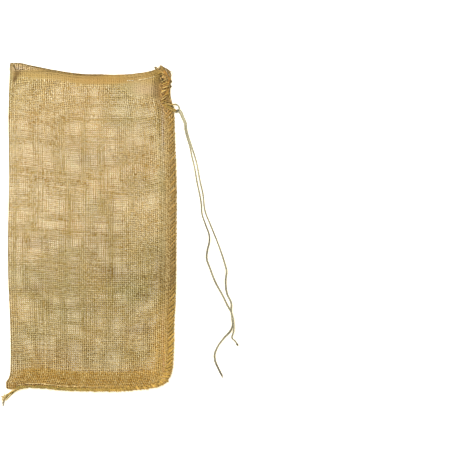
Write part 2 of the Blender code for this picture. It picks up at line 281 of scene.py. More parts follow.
class Builder:
    """Gathers tubes into one mesh, with a colour on every point and a place on the bake's map."""

    def __init__(self, name):
        self.name = name
        self.points, self.faces, self.colours, self.maps, self.slots = [], [], [], [], []
        self.count = 0

    def tubes(
        self, paths, ups, half_widths, half_heights, colours,
        slot=0, sides=4, map_x=0.0, ridge_light=0.0, grain=1.0,
    ):
        """Closed tubes along paths[tube, point], flattened towards ups, all with equal counts.
        Their first corner points towards ups, and the ridge value paints a highlight on it and shade on
        the others.
        grain is how much of the material's mottling shows, and map_x is the tubes' share of the map."""
        paths = np.asarray(paths, float)
        n, m = paths.shape[:2]

        def at_each(value):
            """A value for each point of the paths, to go with its ring of corners."""
            return np.broadcast_to(value, (n, m))[..., None, None]

        ahead = unit(np.gradient(paths, axis=1))
        across = unit(np.cross(ahead, np.broadcast_to(ups, paths.shape)))
        ups = np.cross(across, ahead)
        angles = 2 * np.pi * np.arange(sides) / sides + np.pi / 2
        ring = np.cos(angles)[:, None] * across[:, :, None] * at_each(half_widths)
        ring = ring + np.sin(angles)[:, None] * ups[:, :, None] * at_each(half_heights)
        points = (paths[:, :, None] + ring).reshape(-1, 3)
        points[:, 2] = np.maximum(points[:, 2], FLOOR_GAP)
        index = self.count + np.arange(n * m * sides).reshape(n, m, sides)
        turned = np.roll(index, -1, axis=2)
        quads = np.stack([index[:, :-1], index[:, 1:], turned[:, 1:], turned[:, :-1]], axis=-1)
        self.faces += quads.reshape(-1, 4).tolist()
        self.faces += index[:, 0].tolist()
        self.faces += index[:, -1, ::-1].tolist()
        self.slots += [slot] * (n * (m - 1) * sides + 2 * n)
        self.points.append(points)
        # painted highlight on each ring's first corner and painted shade on the rest
        lighter = np.where(np.arange(sides) == 0, 1.0, -1.0)[:, None]
        colours = np.broadcast_to(colours, (n, m, 3))[:, :, None]
        colours = toned(colours, 1 + at_each(ridge_light) * lighter)
        grain = np.broadcast_to(at_each(grain), (n, m, sides, 1))
        self.colours.append(np.concatenate([colours, grain], axis=-1).reshape(-1, 4))
        self.maps.append(np.stack([points[:, 0], points[:, 1], np.full(len(points), map_x)], axis=1))
        self.count += len(points)

    def tube(self, path, up, radius, colours, sides):
        """One closed tube of a round section along a path."""
        self.tubes(path[None], up, radius, radius, colours[None], sides=sides)

    def make(self, *materials):
        """The object, smooth all over."""
        points = np.concatenate(self.points)
        mesh = bpy.data.meshes.new(self.name)
        mesh.from_pydata(points.tolist(), [], self.faces)
        for material in materials:
            mesh.materials.append(material)
        mesh.polygons.foreach_set("material_index", self.slots)
        tint = mesh.color_attributes.new("Tint", "FLOAT_COLOR", "POINT")
        colours = np.concatenate(self.colours)
        tint.data.foreach_set("color", colours.astype(np.float32).ravel())
        where = np.concatenate(self.maps)
        low, high = where[:, :2].min(axis=0), where[:, :2].max(axis=0)
        shares = len(set(where[:, 2].tolist()))
        place = (where[:, :2] - low) / np.maximum(high - low, TINY)
        place[:, 0] = (place[:, 0] + where[:, 2]) / shares
        corners = np.empty(len(mesh.loops), np.int32)
        mesh.loops.foreach_get("vertex_index", corners)
        bake = mesh.uv_layers.new(name="OFBake")
        place = MAP_MARGIN + (1 - 2 * MAP_MARGIN) * place[corners]
        bake.data.foreach_set("uv", place.astype(np.float32).ravel())
        mesh.shade_smooth()
        mesh.update()
        made = add_object(self.name, mesh)
        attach(made, "root")
        return made


# ---- colours
def rgb(*values):
    """A colour that can be multiplied."""
    return np.array(values)


TAN = rgb(0.717, 0.556, 0.27)
GOLDEN = rgb(0.68, 0.45, 0.13)
AMBER = rgb(0.74, 0.49, 0.145)
RUST = rgb(0.36, 0.17, 0.04)
BROWN = rgb(0.34, 0.2, 0.055)
OLIVE = rgb(0.46, 0.39, 0.15)
PALE = rgb(0.84, 0.68, 0.36)
CREAM = rgb(0.88, 0.745, 0.44)
ROSE = rgb(0.8, 0.57, 0.31)
LAVENDER = rgb(0.68, 0.54, 0.42)
HEM = rgb(0.585, 0.355, 0.068)
MOUTH_TAN = rgb(0.6, 0.385, 0.125)
PEAT = rgb(0.06, 0.045, 0.02)
THREAD_BROWN = rgb(0.47, 0.31, 0.11)
THREAD_GOLD = rgb(0.7, 0.47, 0.125)
THREAD_PALE = rgb(0.78, 0.6, 0.29)
THREAD_GREY = rgb(0.5, 0.41, 0.27)
THREAD_RED = rgb(0.46, 0.25, 0.07)
THREAD_WHITE = rgb(1.0, 0.93, 0.72)
THREAD_OLIVE = rgb(0.53, 0.395, 0.12)
TWINE_OLIVE = rgb(0.215, 0.205, 0.162)
TWINE_STRAW = rgb(0.5, 0.48, 0.345)
TWINE_DARK = rgb(0.12, 0.112, 0.096)

STAINS_AND_PAINTED_LIGHT = (  # mm: x, y, half width, half height; turn in degrees, colour, strength. Stains, and painted shade and highlights where marked
    (0, -170, 200, 120, 0, OLIVE, 0.35),
    (-70, -120, 70, 40, 0, OLIVE, 0.3),
    (110, -135, 55, 24, 5, OLIVE, 0.5),
    (108, -142, 15, 8, 0, BROWN, 0.4),
    (97, -213, 29, 10, 12, BROWN, 0.66),
    # painted shade in the trough from (60, -190) to (142, -142)
    (108, -160, 48, 3, 33, BROWN, 0.3),
    (-128, 40, 62, 85, 0, CREAM, 0.6),
    (-160, 170, 30, 50, 0, CREAM, 0.45),
    (98, 26, 26, 66, 0, CREAM, 0.45),
    (96, 268, 14, 40, 0, CREAM, 0.5),
    (84, 200, 20, 26, 0, CREAM, 0.4),
    (52, -96, 40, 18, 0, BROWN, 0.5),
    (-114, -123, 18, 14, 0, BROWN, 0.52),
    (-144, -272, 20, 14, 0, OLIVE, 0.45),
    (-60, -262, 90, 26, 0, BROWN, 0.26),
    (-38, -270, 14, 16, 0, BROWN, 0.4),
    (138, -123, 18, 14, 0, BROWN, 0.5),
    # painted shadow along the bottom hem's edge
    (-139, -329, 22, 8, 0, BROWN, 0.6),
    (136, 289, 14, 14, 0, BROWN, 0.3),
    (12, 230, 22, 20, 0, CREAM, 0.4),
    (62, 247, 36, 16, 0, CREAM, 0.4),
    (-13, 200, 26, 12, 0, CREAM, 0.4),
    (24, 41, 16, 22, 0, CREAM, 0.35),
    (-139, -64, 30, 12, 0, CREAM, 0.35),
    (-1, 112, 18, 14, 0, CREAM, 0.3),
    (-76, -211, 24, 12, 0, CREAM, 0.3),
    (138, -88, 10, 45, 0, BROWN, 0.5),
    (-100, 268, 26, 18, 0, CREAM, 0.4),
    (-110, -34, 40, 13, 0, BROWN, 0.48),
    (-4, 142, 48, 14, 0, BROWN, 0.36),
    (12, -36, 30, 46, 0, BROWN, 0.24),
    (-8, -166, 50, 26, 0, BROWN, 0.2),
    (-66, 84, 34, 12, 0, CREAM, 0.6),
    (-38, 24, 14, 12, 0, CREAM, 0.4),
    (37, 163, 5, 4, 0, BROWN, 0.45),
    # painted shade in a notch, a trough and a crease of the cloth (these three rows)
    (-91, -164, 1.6, 16, 0, BROWN, 0.6),
    (-146, -127, 32, 1.8, 0, BROWN, 0.4),
    (-136, 179.5, 32, 1.8, 0, BROWN, 0.3),
    (-158, 333, 18, 6, 0, LAVENDER, 0.5),
    (-172, 300, 5, 40, 0, OLIVE, 0.5),
    # painted shadow in the crease of the fold at the top left corner (these two rows)
    (-156.5, 322.5, 7.5, 5, 0, RUST * 0.36, 1.1),
    (-161.5, 312, 4.6, 12, -24, RUST * 0.36, 1.2),
    (-164.5, 285, 1.4, 22, 0, BROWN, 0.6),
    (-110, 316, 42, 7, -6, GOLDEN, 0.6),
    (111, 289, 28, 13, 0, ROSE * 0.97, 0.85),
    # painted shade along the crease of the fold near the top right
    (126, 277, 20, 1.6, 2, BROWN, 0.3),
    # painted shade in the creases that run out from the tie (these two rows)
    (118, 221, 34, 1.6, 15, BROWN, 0.5),
    (122, 212.5, 28, 1.5, 13, BROWN, 0.4),
    # painted highlights on the ridges between those creases (these two rows)
    (117, 225.5, 34, 1.7, 16, PALE, 0.6),
    (121, 217, 30, 1.6, 14, PALE, 0.6),
    (-172, -296, 20, 42, -30, TAN * 0.86, 0.8),
    # painted shadow along the bottom hem's edge, reddish brown (these three rows)
    (-110, -328, 42, 1.5, 1, BROWN, 0.7),
    (-134, -331.5, 30, 3.4, 0, RUST, 0.9),
    (-52, -330, 30, 1.4, -4, BROWN, 0.5),
    (149, 208, 2.4, 48, 1, LAVENDER, 0.75),
    (150, 288, 15, 44, 0, RUST, 0.72),
    (150, -250, 16, 82, 0, AMBER * 1.08, 0.8),
    (159, -125, 11, 95, 0, BROWN, 0.42),
    (144, -268, 18, 60, 0, AMBER, 0.8),
    (162, -262, 4.5, 75, 0, RUST, 0.8),
    (151, 284, 4, 9, 0, ROSE * 0.85, 0.6),
    (141, 284, 5, 13, 0, BROWN, 0.4),
    (138, -302, 46, 26, 0, AMBER, 0.55),
    (149.5, -258, 2.0, 66, 0, ROSE * (1.0, 0.8, 0.8), 0.9),
    (20, 310, 95, 9, 0, AMBER * (1.0, 0.88, 0.85), 0.6),
    (140, 318, 14, 16, 0, GOLDEN, 0.9),
    (-110, 150, 80, 150, 0, TAN, 0.6),
    # painted shadow in the hole by the mouth's right corner (these two rows)
    (146, 309, 9, 15, 12, BROWN * 0.5, 0.8),
    (145.5, 312, 3.6, 8, 12, PEAT, 0.9),
)


def hem_depth(x):
    """How deep the mouth's turned-in hem reaches: deepest near the middle."""
    return MOUTH_HEM + HEM_DIP * hill(x, HEM_DIP_X, HEM_DIP_HALF)


def cloth_colour(place, depths):
    """Jute's colour at places on the sack, with its stains and the painted shade and highlights of the
    table above. depths are the distances from its four edges.
    """
    x, y = place[..., 0], place[..., 1]
    shade = np.broadcast_to(TAN, (*x.shape, 3)).copy()

    def blend_in(colour, share):
        shade[:] = blend(shade, colour, np.clip(share, 0, 1)[..., None])

    blend_in(GOLDEN, 0.25 + 0.4 * noise(x, y, 0.04, 0.055, 11))
    blend_in(OLIVE, 0.12 + 0.35 * noise(x, y, 0.065, 0.045, 12))
    _, from_side, from_bottom, from_mouth = depths
    blend_in(HEM, 0.9 * (1 - ease(from_bottom, BOTTOM_HEM - 0.004, 0.008)))
    blend_in(MOUTH_TAN, 0.8 * (1 - ease(from_mouth, hem_depth(x), 0.006)))
    brown_part = 0.78 * ease(y, -0.24, 0.1)
    blend_in(THREAD_BROWN * 1.12, brown_part * (1 - ease(from_side, SIDE_SEAM - 0.006, 0.014)))
    for cx, cy, rx, ry, turn, colour, strength in STAINS_AND_PAINTED_LIGHT:
        dx, dy = x / MM - cx, y / MM - cy
        c, s = math.cos(math.radians(turn)), math.sin(math.radians(turn))
        away = np.hypot((c * dx + s * dy) / rx, (c * dy - s * dx) / ry)
        blend_in(colour, strength * np.exp(-(away**2)))
    return shade


def set_inputs(node, **values):
    """Sets a node's inputs. An underline in a name stands for a space."""
    for name, value in values.items():
        node.inputs[name.replace("_", " ")].default_value = value
    return node


MOTTLES = 420  # about how many mottles of a yarn there are in a metre
FIBRES = 2400  # and how many fibres side by side


def jute(name, stretch, dark=0.62, mottle=0.35):
    """Matt jute: the points' own tint, mottled, and streaked by fibres that run along the yarn."""
    made = bpy.data.materials.new(name)
    made.use_nodes = True
    nodes, links = made.node_tree.nodes, made.node_tree.links
    shader = set_inputs(nodes["Principled BSDF"], Roughness=0.85, Specular_IOR_Level=0.06)
    where = nodes.new("ShaderNodeTexCoord")
    tint = nodes.new("ShaderNodeVertexColor")
    tint.layer_name = "Tint"
    colour = tint.outputs["Color"]
    for scale, detail, low, high in (
        (stretch, 4, dark, 1.22),
        ((MOTTLES, MOTTLES, MOTTLES), 2, 1 - mottle, 1 + mottle),
    ):
        along = set_inputs(nodes.new("ShaderNodeMapping"), Scale=scale)
        links.new(where.outputs["Object"], along.inputs["Vector"])
        grain = set_inputs(nodes.new("ShaderNodeTexNoise"), Scale=1.0, Detail=detail, Roughness=0.65)
        links.new(along.outputs["Vector"], grain.inputs["Vector"])
        ramp = nodes.new("ShaderNodeValToRGB")
        dark_stop, light_stop = ramp.color_ramp.elements
        dark_stop.position, light_stop.position = 0.32, 0.68
        dark_stop.color = (low, low * 0.95, low * 0.86, 1)
        light_stop.color = (high, high, high * 0.985, 1)
        links.new(grain.outputs["Fac"], ramp.inputs["Fac"])
        mixed = nodes.new("ShaderNodeMix")
        mixed.data_type = "RGBA"
        mixed.blend_type = "MULTIPLY"
        links.new(tint.outputs["Alpha"], mixed.inputs["Factor"])
        links.new(colour, mixed.inputs[6])
        links.new(ramp.outputs["Color"], mixed.inputs[7])
        colour = mixed.outputs[2]
        if scale == stretch:
            bump = set_inputs(nodes.new("ShaderNodeBump"), Strength=0.6, Distance=0.0003)
            links.new(grain.outputs["Fac"], bump.inputs["Height"])
            links.new(bump.outputs["Normal"], shader.inputs["Normal"])
    links.new(colour, shader.inputs["Base Color"])
    return made


WARP_JUTE = jute("warp_jute", (FIBRES, MOTTLES, 0.75 * FIBRES))
WEFT_JUTE = jute("weft_jute", (MOTTLES, FIBRES, 0.75 * FIBRES))
THREAD_JUTE = jute("sewing_thread", (1300, 1300, 1300), 0.55)
TWINE_JUTE = jute("tie_twine", (1500, 900, 1500), 0.6, 0.25)


# ---- camera and cords
PHOTO_SIDE = 470  # pixels
PIXEL = 2.1 * MM  # one pixel of the photograph on the sack
ORIGIN_PIXEL = (92.35, 227.5)  # where the photograph has the sack's middle, from its top left


def make_camera():
    """Straight above, far enough off that the sack is seen nearly flat on."""
    data = bpy.data.cameras.new("camera")
    data.sensor_width = 36
    data.lens = 120
    camera = add_object("camera", data)
    x, y = (PHOTO_SIDE / 2 - ORIGIN_PIXEL[0]) * PIXEL, (ORIGIN_PIXEL[1] - PHOTO_SIDE / 2) * PIXEL
    camera.location = (x, y, PHOTO_SIDE * PIXEL * data.lens / data.sensor_width)
    bpy.context.scene.camera = camera


def twisted(builder, path, strands, radius, offset, lay, colours, sides=6, seed=1, flat=1.0):
    """A twisted cord: strands wound round a path, one turn in each lay's length.
    flat under 1 presses it flatter."""
    at = distances(path)
    ahead = unit(np.gradient(path, axis=0))
    across = unit(np.cross(ahead, UP))
    up = np.cross(across, ahead)
    rough = np.random.RandomState(seed)
    radius, offset = np.broadcast_to(radius, at.shape), np.broadcast_to(offset, at.shape)
    for k in range(strands):
        turn = 2 * np.pi * (at / lay + k / strands) + 0.5 * noise_along(at, 0.02, seed)
        off = np.cos(turn)[:, None] * across + flat * np.sin(turn)[:, None] * up
        line = path + offset[:, None] * off
        line[:, 2] = np.maximum(line[:, 2], 1.2 * radius)
        own = radius * (1 + 0.12 * noise_along(at, 0.012, seed + 7, k))
        own = own * (1 + 0.04 * rough.uniform(-1, 1, len(at)))
        tone = 1 + 0.12 * rough.uniform(-1, 1)
        builder.tube(line, off, own, colours * tone, sides)


def route(points, step):
    """Evenly spread points along a route's smooth line. A point without a height is on the floor."""
    points = np.array([(*point, TWINE_REST)[:3] for point in points]) * MM
    return smooth_line(points, np.linspace(0, 1, int(distances(points)[-1] / step) + 1))


def loose_thread(builder, points, radius, colour, seed, sides=5, step=0.0012):
    """A thread along a route in mm, thinner towards its end."""
    path = route(points, step)
    at = np.linspace(0, 1, len(path))
    thin = radius * (1 - 0.45 * at) * (1 + 0.15 * noise_along(at * len(at), 4, seed))
    path[:, 2] = np.maximum(path[:, 2], thin + FLOOR_GAP)
    tone = 1 + 0.2 * noise_along(at * len(at), 5, seed + 1)
    builder.tube(path, UP, thin, colour * tone[:, None], sides)


def knot(builder, middle, size, radius, colour, turn=0.0):
    """A small overhand knot, as a flattened trefoil drawn tight."""
    t = np.linspace(0, 2 * np.pi, 49) + turn
    x, y = np.sin(t) + 2 * np.sin(2 * t), np.cos(t) - 2 * np.cos(2 * t)
    line = np.stack([x, y, -1.2 * np.sin(3 * t)], axis=1) * size / 6 + np.array(middle) * MM
    line[:, 2] = np.maximum(line[:, 2], radius + FLOOR_GAP)
    tone = 1 + 0.15 * np.sin(3 * t)
    builder.tube(line, UP, radius, colour * tone[:, None], 6)


def fray(name, middle, aim, spread, count, reach, colour, seed, radius=0.3):
    """Loose fibres that fan out from a cut end, near the floor."""
    rough = np.random.RandomState(seed)
    builder = Builder(name)
    for k in range(count):
        way = math.radians(aim + rough.uniform(-spread, spread))
        bend = math.radians(rough.uniform(-40, 40))
        length = reach * rough.uniform(0.45, 1.0)
        start = np.array(middle) + rough.uniform(-0.8, 0.8, 3)
        half = start + 0.5 * length * np.array([math.cos(way), math.sin(way), 0.05])
        end = half + 0.5 * length * np.array([math.cos(way + bend), math.sin(way + bend), -0.05])
        shade = colour * rough.uniform(0.5, 1.15)
        loose_thread(builder, (start, half, end), radius * MM, shade, seed + k, 4)
    return builder.make(TWINE_JUTE)


def twine_colours(path, seed, dark_end):
    """Olive jute with straw streaks, golden over the seam, and dark at the end where asked."""
    at = np.linspace(0, 1, len(path))[:, None]
    pale = 0.72 - 0.5 * ease(at, 0.35, 0.15) + 0.35 * ease(at, 0.62, 0.1)
    share = np.clip(pale + 0.4 * noise_along(at * len(path) * TWINE_STEP, 0.025, seed), 0, 1)
    on_seam = 0.85 * (1 - ease(path[:, :1], 0.171, 0.006))
    colours = blend(blend(TWINE_OLIVE, TWINE_STRAW, share), THREAD_GOLD * 0.66, on_seam)
    end = dark_end * (ease(at, 0.84, 0.16) + 0.6 * hill(at, 0.82, 0.025))
    return blend(colours, TWINE_DARK, end)


TWINE_STEP = 0.0011  # between the points of a twine's line
TWINE_TURN = 0.0075  # the length of one turn of its strands
TWINE_STRAND = 0.00116  # a strand's radius
TWINE_OFFSET = 0.00074  # how far a strand's middle is from the twine's
SEAM_STRANDS = (0.0011, 0.00075, 0.008)  # the same of the seam's threads: radius, offset, turn
SEAM_THREADS = (  # under and beside the twine where it crosses the seam: mm, colour
    (
        ((149, 257.6, 5), (153, 256, 6.6), (158, 254.4, 7.2), (164, 252, 7.2),
         (169.6, 249, 6.6), (174.4, 246.4, 5.4), (178.6, 244.6, 3.4)),
        THREAD_GOLD * 0.62,
    ),
    (((153.5, 262, 5.6), (157, 263.8, 7.2), (161, 263.2, 7.4), (165, 260.6, 6.2)), THREAD_BROWN * 0.7),
    # a dark thread laid between the twine's strands: painted shadow
    (((156, 255.8, 5), (162, 254.8, 5.6), (168, 253.4, 5.2), (171, 252, 4.2)), PEAT * 2.2),
)


def make_tie():
    """The tie's bight round the seam, its two free strands, and what their ends end in."""
    knot_builder = Builder("twine_knot")
    knot(knot_builder, (304.0, -245.4, 2.2), 0.003, 0.0013, TWINE_OLIVE)
    end_knot = knot_builder.make(TWINE_JUTE)
    end_fray = fray("twine_left_fray", (304.6, -246.4, 1.2), -50, 35, 5, 4, TWINE_OLIVE, 81)
    cut_fray = fray("twine_right_fray", (271.4, -309.6, 1.2), -62, 30, 12, 8, TWINE_DARK * 1.6, 82)
    bight = Builder("twine_bight")
    for points, colour in SEAM_THREADS:
        path = route(points, TWINE_STEP)
        twisted(bight, path, 3, *SEAM_STRANDS, colour * np.ones((len(path), 1)), seed=36)
    knot(bight, (179.8, 245.6, 4.2), 0.0042, 0.0013, TWINE_OLIVE, 0.8)
    bight = bight.make(TWINE_JUTE)
    for name, node, table, seed, dark_end, far_end, along in (
        ("twine_hitch", "tie_hitch", HITCH_ROUTE, 31, 0.0, "object", [bight]),
        ("twine_left", "tie_strand_left", LEFT_STRAND_ROUTE, 32, 0.0, "knot", [end_knot, end_fray]),
        ("twine_right", "tie_strand_right", RIGHT_STRAND_ROUTE, 33, 0.85, "bare", [cut_fray]),
    ):
        path = route(table, TWINE_STEP)
        builder = Builder(name)
        at = np.linspace(0, 1, len(path))
        swell = 1 + 0.24 * between(at, 0.5, 0.1, 0.83, 0.05) + 0.3 * dark_end * ease(at, 0.87, 0.08)
        twisted(
            builder, path, 3, TWINE_STRAND * swell, TWINE_OFFSET * swell, TWINE_TURN,
            twine_colours(path, seed, dark_end), seed=seed,
        )
        made = builder.make(TWINE_JUTE)
        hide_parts(node)


TAIL_THREADS = (  # the threads that open out beside it: mm, radius in mm, colour
    (
        ((-148, -336.2, 5.2), (-156, -338.4, 5), (-163, -341.2, 3.8), (-171, -346.6, 4.4),
         (-178, -352.6, 3.4), (-187, -357.4, 0.9)),
        1.6, THREAD_GOLD * 0.9,
    ),
    (
        ((-154, -334.2, 5.4), (-161, -338.6, 4.8), (-168, -342.6, 3.8), (-176, -348, 3.6),
         (-184, -352.5, 1.2)),
        1.3, THREAD_PALE * 0.85,
    ),
    (
        ((-152, -338.6, 4.6), (-160, -342.4, 3.6), (-167, -348.2, 2.6), (-174, -355.4, 1.6),
         (-180, -362, 0.9)),
        1.4, THREAD_OLIVE * 0.6,
    ),
)


def make_tail():
    """The sewing thread's tail at the bottom left corner, opened out into loose threads."""
    path = route(TAIL_ROUTE, 0.001)
    builder = Builder("sewing_tail")
    at = np.linspace(0, 1, len(path))
    colours = blend(THREAD_OLIVE * 0.55, THREAD_PALE * 0.75, ease(at, 0.45, 0.35)[:, None])
    colours = blend(colours, TWINE_DARK * 1.6, ease(at, 0.62, 0.1)[:, None])
    opened = ease(at, 0.5, 0.2)
    radius, offset = 0.0013 * (1 - 0.8 * opened), 0.0014 - 0.0004 * opened
    twisted(builder, path, 5, radius, offset, 0.024, colours, seed=41)
    made = builder.make(THREAD_JUTE)
    flank = Builder("tail_threads")
    for k, (points, thick, colour) in enumerate(TAIL_THREADS):
        loose_thread(flank, points, thick * MM, colour, 90 + k)
    flank = flank.make(THREAD_JUTE)
    ends = fray("tail_fray", (-183.0, -358.5, 2.0), -165, 95, 20, 13, THREAD_PALE * 0.95, 83, 0.75)
    wisps = fray("tail_wisps", (-185.5, -366.0, 1.0), -110, 30, 6, 12, TWINE_DARK * 1.8, 84, 0.25)
    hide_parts("thread_tail")


make_camera()
make_tie()
make_tail()


# ---- woven cloth
USUAL_WIDTH = 0.353
USUAL_LENGTH = 0.665
WARPS = 84
WEFTS = 174
BACK_WARPS = 77
BACK_WEFTS = 163
WARP_HALF_WIDTH = 0.00118
WEFT_HALF_WIDTH = 0.00108
YARN_HALF_HEIGHT = 0.00054
CRIMP = 0.00052  # how far a yarn passes over and under the cloth's middle
INNER_CRIMP = 0.0003  # and in the turned-in allowances
CROWDING = 0.0005  # how far a yarn strays where the yarns crowd together
RIDGE_LIGHT = 0.22  # painted light: how much lighter a yarn is along its top, a painted highlight, than along its edges, painted shade
YARN_MIDDLE = 0.00108  # below the cloth's top
WARP_TONE = 1.1
WEFT_TONE = 0.92
UNEVEN = 0.07  # how much the yarns' thickness varies, from one to the next and from place to place
SLUB_LENGTH = 0.018
YARN_TONES = 0.028  # how much one yarn is lighter or darker than the next
CROSSING_TONES = 0.13  # and one crossing than the next
LIP_PAINTED_SHADE = (0.5, 0.5, 0.46)  # painted shade on the yarns' turns over the mouth
FOLD_PAINTED_SHADE = (0.62, 0.6, 0.56)  # and painted shade on the turns round the fold
CLOSE_SHADE = 0.205  # how much darker the cloth is where it is close
CALM_SHADE = 0.06  # and where it is calm
MOUTH_EDGE_SHADE = 0.4  # painted shade: how much darker the mouth's very edge is over its shaded stretch
MOUTH_SAG = 0.002  # how far the mouth's edge hangs in from its outline
MOUTH_HEM_START = 1 - 1.3 * MOUTH_HEM / USUAL_LENGTH


def wandering(count, other, seed, usual, crowded):
    """Where each yarn lies, as a fraction of the way across, at each place along it."""
    rough = np.random.RandomState(seed)
    even = (np.arange(count) + 0.5) / count
    own = rough.normal(0, 0.05, count) / count
    i, j = np.meshgrid(np.arange(count), other, indexing="ij")
    drift = 0.07 * noise(i * 1.0, j, 1.0, 0.03, seed + 1) / count
    crowd = crowded * CROWDING * noise(i / count * usual, j, 0.03, 0.08, seed + 2) / usual
    return even[:, None] + own[:, None] + drift + crowd


def calmness(close):
    """How even the cloth looks: 0 where it is single, 1 where its yarns lie closest."""
    return ease(close, 0.95, 0.4)


def widths(count, other, seed, close):
    """How thick each yarn is along it: uneven round 1, and thicker and evener where close."""
    rough = np.random.RandomState(seed)
    own = rough.normal(0, UNEVEN, count)[:, None]
    i, j = np.meshgrid(np.arange(count), other, indexing="ij")
    along = 0.12 * noise(i * 1.0, j, 1.0, 0.02, seed + 1)
    each = rough.normal(0, UNEVEN, (count, len(other)))
    slub = np.clip(noise(i * 1.0, j, 1.0, SLUB_LENGTH, seed + 2) - 0.72, 0, 1) * 1.8
    calm = calmness(close)
    uneven = np.clip(1 + own + along + each + slub, 0.6, 1.7)
    thicker = np.where(close > 0, 0.7, 0.45) * close + 0.35 * calm
    return (1 + thicker) * (1 + (uneven - 1) * (1 - 0.6 * calm))


def tones(rough, base, over, close):
    """How light each yarn is at each crossing, round base: random tones, and painted light, lighter
    where it lies on top and painted shade where it passes under.
    """
    count, length = over.shape
    calm = calmness(close)
    own = rough.normal(0, YARN_TONES, (count, 1)) + rough.normal(0, CROSSING_TONES, (count, length))
    own = own * np.where(close > 0, 1 - 0.15 * close - 0.65 * calm, 1 - 4.5 * close)
    tone = np.clip((1 + own) * (1 + 0.12 * over * (1 - 0.6 * close)), 0.6, 1.5)
    return ((1 + (base - 1) * (1 - 0.85 * calm)) * tone)[..., None]


def yarn_looks(rough, base, over, close, colours, along, seed, size):
    """How wide, high and mottled the yarns of one way are, how much painted light their ridges get, and
    their shades.
    """
    calm = calmness(close)
    wide = size * widths(len(over), along, seed, close)
    ridge_light = RIDGE_LIGHT * (1 - 0.35 * close - 0.5 * calm)
    shade = toned(colours, tones(rough, base, over, close))
    return wide, YARN_HALF_HEIGHT * (1 - 0.72 * calm), ridge_light, 1 - 0.75 * calm, shade


def raised(place, height):
    """Points over places in the plane."""
    return np.concatenate([place, height[..., None]], axis=-1)


CLOSE_SPOTS = (  # mm: middle, half widths; share, under 0 where the cloth is open
    ((111, 291), (42, 20), 2.6),
    ((150, 296), (24, 44), 0.1),
    ((-162, 316), (12, 16), 1.4),
    ((-80, 312), (70, 14), 0.5),
    ((-130, 60), (60, 190), -0.16),
    ((-20, 130), (170, 190), -0.12),
)


def closeness(place, depths):
    """How much thicker the yarns are where the cloth lies double or drawn together."""
    _, from_side, _, from_mouth = depths
    share = 1.08 * (1 - ease(from_side, SIDE_SEAM + 0.003, 0.019))
    share = np.maximum(share, 1.4 * (1 - ease(from_mouth, hem_depth(place[..., 0]) + 0.002, 0.007)))
    for (cx, cy), (rx, ry), own in CLOSE_SPOTS:
        away = np.hypot((place[..., 0] / MM - cx) / rx, (place[..., 1] / MM - cy) / ry)
        share = share + own * np.exp(-(away**4))
    return np.clip(share, -0.3, 1.4)


def repeat_ends(tables, before, after):
    """Tables whose rows are lengthened by repeating their first and last values."""
    pads = ((0, 0), (before, after), (0, 0))
    return [np.pad(table, pads[: table.ndim], "edge") for table in tables]


def over_mouth(lines, ups, looks, lip):
    """The warps carried over the mouth's edge, the front's down and the back's up."""
    top = lines[:, -1:]
    beyond = [top + (0, 0.0016, -0.0006 * lip), top + (0, 0.001, -0.0019 * lip)]
    turned = np.array([[0, 1.0, 0.3 * lip], [0, 0.4, -lip]])
    ups = np.concatenate([ups, np.broadcast_to(turned, (len(lines), 2, 3))], axis=1)
    looks = repeat_ends(looks, 0, 2)
    # painted shade on the warps' turns over the mouth's edge
    looks[-1][:, -3:] *= LIP_PAINTED_SHADE
    return np.concatenate([lines, *beyond], axis=1), ups, looks


def round_fold(lines, ups, looks, edge):
    """The wefts carried down round the folded side's edge."""
    below = [
        raised(edge + (inset, 0), rise * lines[:, 0, 2])
        for inset, rise in ((0.0024, 0.26), (0.001, 0.36), (0.0006, 0.6), (0.001, 0.84))
    ]
    turned = np.array([[0, 0, -1], [-0.7, 0, -0.7], [-1, 0, 0], [-0.7, 0, 0.7]])
    ups = np.concatenate([np.broadcast_to(turned, (len(lines), 4, 3)), ups], axis=1)
    looks = repeat_ends(looks, 4, 0)
    # painted shade on the wefts' turns round the folded edge
    looks[-1][:, :4] *= FOLD_PAINTED_SHADE
    return np.concatenate([np.stack(below, axis=1), lines], axis=1), ups, looks


def add_yarns(builder, slot, half_width, lines, ups, looks):
    """The yarns of one way, in its own material and share of the map."""
    wide, high, ridge_light, grain, shade = looks
    builder.tubes(lines, ups, half_width * wide, high * wide**0.5, shade, slot, 3, slot, ridge_light, grain)


